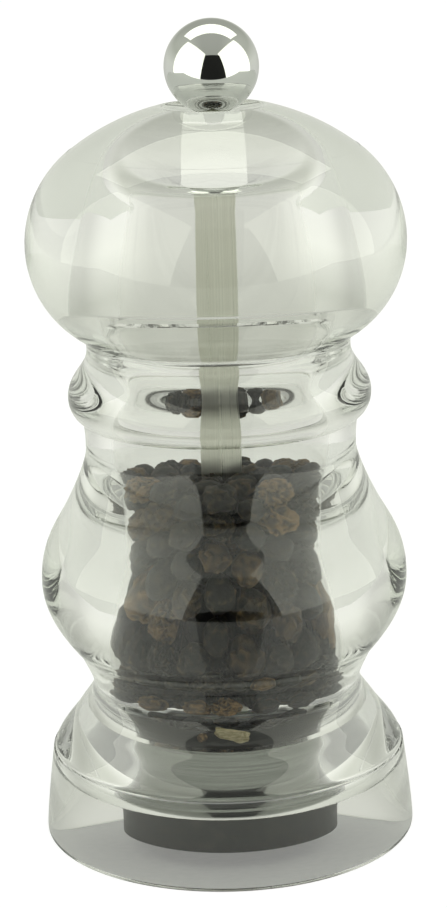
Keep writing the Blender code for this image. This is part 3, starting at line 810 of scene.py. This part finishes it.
class PEPPERMILL_OT_rings(bpy.types.Operator):
    """Build the bush, the washers and the nut round the rod"""
    bl_idname = "pepper_mill.rings"
    bl_label = "Bush, washers and nut"

    def execute(self, context):
        _, low, high = reach("bearing_bush")
        flange_top = low + 0.6
        rows = eased([(3.65, high), (3.65, flange_top), (5.4, flange_top), (5.4, low), (3.15, low), (3.15, high)],
                     0.15)
        place("nylon_bush", turned("nylon_bush", rows), finish(white_nylon), "body",
              ["bearing_bush"])
        for node, body, inner in (("thrust_washer", "drive", 3.15), ("spring_seat", "shaft", 3.15),
                                  ("rotor_washer", "shaft", 2.2)):
            outer, low, high = reach(node)
            rows = eased([(outer, high), (outer, low), (inner, low), (inner, high)], 0.12)
            place(node + "_ring", turned(node + "_ring", rows), finish(bright_steel), body, [node])
        self.nut()
        return {"FINISHED"}

    def nut(self):
        """Hexagon nut with turned corners."""
        outer, low, high = reach("rotor_nut")
        flat = outer * math.cos(math.pi / 6)

        def hexagon(height, most):
            return lambda a: (min(flat / math.cos((a + math.pi / 6) % (math.pi / 3) - math.pi / 6), most), height)
        rows = [hexagon(high, flat), hexagon(high - 0.25, outer), hexagon(low + 0.25, outer), hexagon(low, flat),
                (2.45, low), (2.2, low + 0.25), (2.2, high - 0.25), (2.45, high)]
        mesh = turned("hexagon_nut", rows)
        place("hexagon_nut", mesh, finish(bright_steel), "shaft", ["rotor_nut"])


class PEPPERMILL_OT_spring(bpy.types.Operator):
    """Build the compression spring at one fixed length; the real one stretches as the rotor is lowered"""
    bl_idname = "pepper_mill.spring"
    bl_label = "Spring"

    def execute(self, context):
        wire = context.scene.pepper_mill_sizes.spring_wire / MM
        _, low, high = reach("spring")
        radius, active, closed, per_turn = 4.3, 2.5, wire + 0.15, 36
        start, end = low + wire / 2, high - wire / 2
        total = active + 2
        path = []
        for step in range(int(total * per_turn) + 1):
            turn = step / per_turn
            if turn <= 1.0:
                height = start + closed * turn
            elif turn >= total - 1.0:
                height = end - closed * (total - turn)
            else:
                height = start + closed + (end - start - 2 * closed) * (turn - 1.0) / active
            angle = 2 * math.pi * turn
            path.append((radius * math.cos(angle), radius * math.sin(angle), height))
        made = place("coil_spring", tube("coil_spring", path, wire / 2), finish(bright_steel), None,
                     ["spring"])
        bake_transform(made)
        return {"FINISHED"}


class PEPPERMILL_OT_rotor(bpy.types.Operator):
    """Build the toothed cone that turns with the rod"""
    bl_idname = "pepper_mill.rotor"
    bl_label = "Rotor"

    def execute(self, context):
        shoulder = ROTOR_HIGH - 1.0
        hole = 2.0
        mesh = lofted("grinding_rotor", [
            (4.5, 4.5, ROTOR_HIGH, 0.0), (4.6, 4.6, ROTOR_HIGH - 0.15, 0.0), (4.6, 4.6, shoulder, 0.0),
            (6.6, 5.2, shoulder - 0.5, 4.0), (7.3, 6.0, 8.0, 8.0), (8.1, 6.8, 7.0, 12.0), (8.8, 7.6, 6.2, 16.0),
            (9.3, 8.4, 5.2, 20.0), (ROTOR_RADIUS, 9.1, 4.2, 24.0), (ROTOR_RADIUS, 9.3, ROTOR_LOW, 27.0),
            (6.0, 6.0, ROTOR_LOW, 27.0), (5.6, 5.6, 6.7, 27.0), (hole, hole, 6.7, 14.0),
            (hole, hole, ROTOR_HIGH, 0.0),
        ], 16)
        made = place("grinding_rotor", mesh, finish(hardened_steel), "shaft", ["rotor"])
        side = 4.6
        tool = box_mesh("square_hole", (side, side, 8.0), (0.0, 0.0, 9.0))
        tool.transform(Matrix.Rotation(math.radians(45.0), 4, "Z"))
        cut(made, tool, "square_hole")
        return {"FINISHED"}


class PEPPERMILL_OT_stator(bpy.types.Operator):
    """Build the toothed ring that the rotor grinds against, and its snap ring"""
    bl_idname = "pepper_mill.stator"
    bl_label = "Stator and clip"

    def execute(self, context):
        outer, bevel = STATOR_RADIUS, 0.2
        mesh = lofted("grinding_stator", [
            (outer - bevel, outer - bevel, STATOR_HIGH, 0.0), (outer, outer, STATOR_HIGH - bevel, 0.0),
            (outer, outer, STATOR_LOW + bevel, 0.0), (outer - bevel, outer - bevel, STATOR_LOW, 0.0),
            (10.25, 11.1, STATOR_LOW, 0.0), (10.1, 10.9, 5.6, -6.0), (10.0, 11.0, 7.4, -8.7),
            (9.87, 11.15, 9.2, -11.3), (9.75, 11.3, STATOR_HIGH, -14.0),
        ], 24)
        place("grinding_stator", mesh, finish(hardened_steel), "body", ["stator"])
        _, low, high = reach("stator_clip")
        opening, wire, steps = 34.0, 0.3, 96
        angles = np.radians(90.0 + opening / 2 + np.linspace(0.0, 360.0 - opening, steps + 1))
        path = [(12.55 * math.cos(a), 12.55 * math.sin(a), (low + high) / 2) for a in angles]
        place("snap_ring", tube("snap_ring", path, wire), finish(bright_steel), "body",
              ["stator_clip"])
        return {"FINISHED"}


# ---- peppercorns -------------------------------------------------------------------
PEPPER_SEED = 11
PILE_FLOOR_Z = 20.9            # the pile arches over the bridge at this height
PILE_RISE = 4.8                # and higher over the empty front of the floor
ROD_CLEARANCE = 3.1
CORN_SHAPES = 8


def hopper_radius(height):
    """Inside radius of the tapered hopper at a height."""
    share = (height - MECHANISM_TOP_Z) / (LIP_TOP_Z - 0.3 - MECHANISM_TOP_Z)
    return HOPPER_BOTTOM_RADIUS + (HOPPER_TOP_RADIUS - HOPPER_BOTTOM_RADIUS) * share


def pour(count, radii, level, rng):
    """Drop balls into the hopper, let them settle on the walls and each other, and level the top."""
    angle = rng.uniform(0.0, 2 * math.pi, count)
    away = rng.uniform(6.0, 11.0, count)
    height = PILE_FLOOR_Z + 3.0 + 62.0 * np.arange(count) / count
    at = np.stack([away * np.cos(angle), away * np.sin(angle), height], 1)
    rounds = 420
    for step in range(rounds):
        at[:, 2] -= 0.22 if step < rounds * 0.75 else 0.04
        for _ in range(3):
            apart = at[:, None] - at[None]
            far = np.linalg.norm(apart, axis=2) + 1e-9
            np.fill_diagonal(far, 1e3)
            overlap = np.clip(radii[:, None] + radii[None] - far, 0.0, None)
            at += 0.36 * (apart * (overlap / far)[:, :, None]).sum(1)
            flat = np.linalg.norm(at[:, :2], axis=1) + 1e-9
            most = hopper_radius(at[:, 2]) - radii - 0.12
            least = ROD_CLEARANCE + radii
            at[:, :2] *= (np.clip(flat, least, most) / flat)[:, None]
            arch = np.clip((-at[:, 1] - 2.0) / 8.0, 0.0, 1.0)
            at[:, 2] = np.maximum(at[:, 2], PILE_FLOOR_Z + PILE_RISE * arch * arch * (3 - 2 * arch) + radii)
            if step > rounds * 0.6:
                at[:, 2] = np.minimum(at[:, 2], level - radii)
    return at


def corn_shape(kind):
    """Points, faces and ridge height of one wrinkled berry of unit radius."""
    work = bmesh.new()
    bmesh.ops.create_icosphere(work, subdivisions=4 if kind < 2 else 3, radius=1.0)
    seed = Vector((7.3 * kind, 3.1, 11.9 * kind))
    smoothness = 0.45 if kind % 4 == 3 else 1.0
    points, ridges = [], []
    for vert in work.verts:
        out = vert.co.normalized()
        warp = noise.noise_vector(out * 1.6 + seed) * 0.35
        wrinkle = 1 - abs(noise.noise((out + warp) * 2.3 + seed)) * 3.2
        wrinkle = max(wrinkle, 0.0) ** 1.3
        small = 1 - abs(noise.noise((out + warp) * 4.6 - seed)) * 2.6
        lump = noise.noise(out * 1.3 + seed)
        size = 0.8 + smoothness * (0.19 * wrinkle + 0.12 * max(small, 0.0)) + 0.12 * lump
        points.append(out * size)
        ridges.append(0.3 + 0.7 * min(1.0, 0.75 * wrinkle + 0.25 * max(small, 0.0)))
    faces = [tuple(v.index for v in face.verts) for face in work.faces]
    work.free()
    return np.array(points), faces, np.array(ridges)


def corn_mesh(name, places, radii, tones, rng):
    """One mesh of many berries, each with its own shape, turn, stretch and tone."""
    shapes = [corn_shape(kind) for kind in range(CORN_SHAPES)]
    points, faces, ridge, tone = [], [], [], []
    start = 0
    for at, radius, shade in zip(places, radii, tones):
        kind = int(rng.integers(CORN_SHAPES))
        body, sides, high = shapes[kind]
        turn = np.array(Euler(rng.uniform(0.0, 2 * math.pi, 3)).to_matrix())
        squeeze = np.array([1.0, rng.uniform(0.93, 1.0), rng.uniform(0.86, 0.98)])
        points.append((body * squeeze) @ turn.T * radius + at)
        faces += [tuple(index + start for index in side) for side in sides]
        ridge.append(high)
        tone.append(np.full(len(body), shade))
        start += len(body)
    mesh = bpy.data.meshes.new(name)
    mesh.from_pydata((np.concatenate(points) * MM).tolist(), [], faces)
    for title, values in (("corn_ridge", ridge), ("corn_tone", tone)):
        layer = mesh.attributes.new(title, "FLOAT", "POINT")
        layer.data.foreach_set("value", np.concatenate(values).astype(np.float32))
    return mesh


class PEPPERMILL_OT_peppercorns(bpy.types.Operator):
    """Pour the peppercorns into the hopper, with a few loose ones on its floor"""
    bl_idname = "pepper_mill.peppercorns"
    bl_label = "Peppercorns"

    def execute(self, context):
        sizes = context.scene.pepper_mill_sizes
        rng = np.random.default_rng(PEPPER_SEED)
        small, large = sizes.corn_small / MM / 2, sizes.corn_large / MM / 2
        count = sizes.corn_count
        radii = rng.uniform(small, large, count)
        places = pour(count, radii, sizes.fill_level / MM, rng)
        tones = rng.uniform(0.0, 1.0, count) ** 2.6
        mesh = corn_mesh("peppercorns", places, radii, tones, rng)
        place("peppercorns", mesh, finish(pepper_skin), "body")
        floor = HOUSING_HIGH
        loose = np.array([
            (-0.2, -11.8, 7.2, 2.05, 1.0), (-3.9, -11.4, 7.1, 1.95, 0.97), (-9.6, -8.2, 7.0, 2.1, 0.95),
            (4.9, -10.8, 6.9, 2.1, 0.5), (9.4, -8.6, 7.0, 2.1, 0.25), (-3.4, -14.2, 0.95, 0.8, 1.0),
            (-0.2, -11.2, 3.0, 2.05, 0.05), (-4.4, -10.8, 2.9, 2.0, 0.05), (4.6, -10.6, 2.8, 2.1, 0.1),
            (-8.9, -8.2, 2.9, 2.1, 0.05), (8.8, -8.2, 2.9, 2.1, 0.1), (3.0, 12.9, 2.1, 2.1, 0.5),
            (-5.6, 11.9, 2.0, 2.0, 0.2),
        ])
        places = np.column_stack([loose[:, 0], loose[:, 1], floor + loose[:, 2]])
        mesh = corn_mesh("loose_peppercorns", places, loose[:, 3], loose[:, 4], rng)
        place("loose_peppercorns", mesh, finish(pepper_skin), "body")
        self.husk(floor)
        return {"FINISHED"}

    def husk(self, floor):
        """A curled flake of husk on the floor, near the front."""
        across, along, thick = 9, 15, 0.12
        points, faces = [], []
        for layer in (0, 1):
            for row in range(along):
                for column in range(across):
                    s, t = row / (along - 1) * 2 - 1, column / (across - 1) * 2 - 1
                    edge = 1 - 0.35 * s * s + 0.3 * noise.noise(Vector((s * 2.1, t * 1.7, 4.0)))
                    x = 2.3 * s * (1 + 0.12 * noise.noise(Vector((t * 2, 1.0, 2.0))))
                    y = 0.95 * t * edge
                    z = 0.5 * s * s + 0.45 * t * t + 0.3 * noise.noise(Vector((s * 1.5, t * 1.5, 9.0)))
                    points.append((x, y, z + layer * thick))
        size = across * along
        for row in range(along - 1):
            for column in range(across - 1):
                at = row * across + column
                quad = (at, at + 1, at + across + 1, at + across)
                faces.append(quad)
                faces.append(tuple(index + size for index in reversed(quad)))
        rim = ([column for column in range(across)]
               + [row * across + across - 1 for row in range(1, along)]
               + [(along - 1) * across + column for column in range(across - 2, -1, -1)]
               + [row * across for row in range(along - 2, 0, -1)])
        for at, here in enumerate(rim):
            after = rim[(at + 1) % len(rim)]
            faces.append((here, after, after + size, here + size))
        mesh = closed_mesh("husk_flake", points, faces)
        mesh.transform(Matrix.Translation(Vector((0.5, -13.9, floor + 0.9)) * MM)
                       @ Euler((math.radians(38), math.radians(8), math.radians(-12))).to_matrix().to_4x4())
        place("husk_flake", mesh, finish(dry_husk), "body")


# ---- studio ------------------------------------------------------------------------
CAMERA_AHEAD, CAMERA_ASIDE, CAMERA_HEIGHT = 338.0, 0.32, 141.3
CAMERA_PITCH, CAMERA_ROLL = 14.53, -1.45
CAMERA_LENS = 100.4
FLOOR = (-9000.0, 9000.0, -9000.0, 9000.0)       # left, right, front, back
TABLE = (-620.0, 620.0, -215.0, 420.0)


class PEPPERMILL_OT_studio(bpy.types.Operator):
    """Build the floor, the table, the soft lights, the room and the camera"""
    bl_idname = "pepper_mill.studio"
    bl_label = "Studio"

    def execute(self, context):
        self.board("studio_floor", FLOOR, -0.02, lit_floor(), camera=True)
        self.board("studio_table", TABLE, -0.04, pale_table(), camera=False)
        self.room(context.scene)
        self.softbox("softbox_left", -60.0, 0.0, 1150.0, 532.0, (1910.0, 1780.0), -12.3, 1.4)
        self.softbox("softbox_right", 63.0, 0.0, 1150.0, 532.0, (1910.0, 1780.0), 12.3, 1.4)
        overhead = self.softbox("softbox_overhead", 180.0, 72.0, 1250.0, 107.0, (2000.0, 760.0), 0.0, 1.6)
        overhead.visible_diffuse = False
        self.flag()
        self.camera(context.scene)
        context.scene.view_settings.view_transform = "Standard"
        cycles = context.scene.cycles
        cycles.max_bounces, cycles.transmission_bounces, cycles.glossy_bounces = 32, 32, 12
        cycles.diffuse_bounces = 4
        cycles.transparent_max_bounces = 16
        cycles.sample_clamp_indirect = 8.0
        cycles.blur_glossy = 0.3
        cycles.use_denoising = True
        return {"FINISHED"}

    def board(self, name, extent, height, surface, camera):
        """A flat board. The white floor is what the eye sees; glass and mirrors see the table."""
        left, right, front, back = extent
        corners = ((left, front), (right, front), (right, back), (left, back))
        mesh = bpy.data.meshes.new(name)
        mesh.from_pydata([(x * MM, y * MM, height * MM) for x, y in corners], [], [(0, 1, 2, 3)])
        mesh.materials.append(surface)
        made = bpy.data.objects.new(name, mesh)
        bpy.context.scene.collection.objects.link(made)
        made.visible_camera = camera
        made.visible_glossy = made.visible_transmission = made.visible_diffuse = not camera
        made.visible_shadow = False

    def room(self, scene):
        """Pale room: bright round the horizon, greyer above, with a soft glow on both sides."""
        world = bpy.data.worlds.new("studio_room")
        scene.world = world
        world.use_nodes = True
        tree = world.node_tree
        tree.nodes.clear()
        direction = add_node(tree, "TexCoord").outputs["Generated"]
        split = add_node(tree, "SeparateXYZ", Vector=direction).outputs
        rise = add_node(tree, "MapRange", Value=split["Z"], From_Min=-1.0, From_Max=1.0)
        colour = ramp(tree, rise.outputs["Result"], (0.0, linear("#C9CAC6")), (0.42, linear("#E2E3DD")),
                      (0.53, linear("#E4E6DD")), (0.68, linear("#C2C5BA")), (1.0, linear("#CFD1C8")))
        aside = add_node(tree, "Math", {"operation": "ABSOLUTE"}, _0=split["X"])
        glow = add_node(tree, "MapRange", {"interpolation_type": "SMOOTHSTEP"}, Value=aside.outputs["Value"],
                        From_Min=0.25, From_Max=0.85, To_Min=0.88, To_Max=1.18)
        light = add_node(tree, "Background", Color=colour, Strength=glow.outputs["Result"])
        add_node(tree, "OutputWorld", Surface=light.outputs["Background"])

    def softbox(self, name, azimuth, elevation, distance, height, size, roll, radiance):
        """A flat soft light that faces the mill. Azimuth 0 is the camera's side."""
        light = bpy.data.lights.new(name, "AREA")
        light.shape = "RECTANGLE"
        light.size, light.size_y = size[0] * MM, size[1] * MM
        light.color = linear("#FCFFEE")[:3]
        light.energy = radiance * math.pi * light.size * light.size_y
        made = bpy.data.objects.new(name, light)
        turn, rise = math.radians(azimuth), math.radians(elevation)
        back = Vector((math.sin(turn) * math.cos(rise), -math.cos(turn) * math.cos(rise), math.sin(rise)))
        made.location = (back * distance + Vector((0.0, 0.0, height))) * MM
        made.rotation_mode = "QUATERNION"
        made.rotation_quaternion = (back.to_track_quat("Z", "Y").to_matrix()
                                    @ Matrix.Rotation(math.radians(roll), 3, "Z")).to_quaternion()
        made.visible_transmission = False          # their glow through the acrylic is the room's
        bpy.context.scene.collection.objects.link(made)
        return made

    def flag(self):
        """Black card round the camera, seen only in mirrors and through glass."""
        surface, tree, shader, _, place_of = new_finish("black_felt", Roughness=0.95)
        nap = add_node(tree, "TexNoise", Vector=place_of, Scale=per_mm(2.0))
        tree.links.new(ramp(tree, nap.outputs["Fac"], (0.3, grey(0.003)), (0.7, grey(0.007))),
                       shader.inputs["Base Color"])
        corners = ((-560, -1000, -440), (770, -1000, -440), (400, -1000, 735), (-265, -1000, 735))
        mesh = bpy.data.meshes.new("camera_flag")
        mesh.from_pydata([tuple(c * MM for c in corner) for corner in corners], [], [(0, 1, 2, 3)])
        mesh.materials.append(surface)
        card = bpy.data.objects.new("camera_flag", mesh)
        bpy.context.scene.collection.objects.link(card)
        card.visible_camera = card.visible_diffuse = card.visible_shadow = False

    def camera(self, scene):
        """Long lens, a little above the mill."""
        data = bpy.data.cameras.new("camera")
        data.sensor_width = 36.0
        data.lens = CAMERA_LENS
        data.clip_start, data.clip_end = 0.01, 50.0
        made = bpy.data.objects.new("camera", data)
        scene.collection.objects.link(made)
        made.location = Vector((CAMERA_ASIDE, -CAMERA_AHEAD, CAMERA_HEIGHT)) * MM
        level = Matrix.Rotation(math.radians(90.0 - CAMERA_PITCH), 3, "X")
        roll = Matrix.Rotation(math.radians(CAMERA_ROLL), 3, "Z")
        made.rotation_mode = "QUATERNION"
        made.rotation_quaternion = (level @ roll).to_quaternion()
        scene.camera = made


OPERATORS = (
    PEPPERMILL_OT_studio, PEPPERMILL_OT_body, PEPPERMILL_OT_head, PEPPERMILL_OT_knob, PEPPERMILL_OT_rod,
    PEPPERMILL_OT_collar, PEPPERMILL_OT_housing, PEPPERMILL_OT_bridge, PEPPERMILL_OT_rings,
    PEPPERMILL_OT_spring, PEPPERMILL_OT_rotor, PEPPERMILL_OT_stator, PEPPERMILL_OT_peppercorns,
)


class PEPPERMILL_PT_panel(bpy.types.Panel):
    """Pepper mill pieces, sizes and colours"""
    bl_idname = "PEPPERMILL_PT_panel"
    bl_label = "Pepper Mill"
    bl_space_type = "VIEW_3D"
    bl_region_type = "UI"
    bl_category = "Pepper Mill"

    def draw(self, context):
        layout = self.layout
        for group in (context.scene.pepper_mill_sizes, context.scene.pepper_mill_colours):
            column = layout.column(align=True)
            for name in group.__annotations__:
                column.prop(group, name)
        column = layout.column(align=True)
        for operator in OPERATORS:
            column.operator(operator.bl_idname)


CLASSES = (PepperMillSizes, PepperMillColours, *OPERATORS, PEPPERMILL_PT_panel)


def register():
    """Register the classes and put the properties on the scene."""
    for made in CLASSES:
        bpy.utils.register_class(made)
    bpy.types.Scene.pepper_mill_sizes = PointerProperty(type=PepperMillSizes)
    bpy.types.Scene.pepper_mill_colours = PointerProperty(type=PepperMillColours)


def unregister():
    """Take the properties and classes away again."""
    del bpy.types.Scene.pepper_mill_colours
    del bpy.types.Scene.pepper_mill_sizes
    for made in reversed(CLASSES):
        bpy.utils.unregister_class(made)


def main():
    register()
    for operator in OPERATORS:
        group, name = operator.bl_idname.split(".")
        getattr(getattr(bpy.ops, group), name)()


if __name__ == "__main__":
    main()
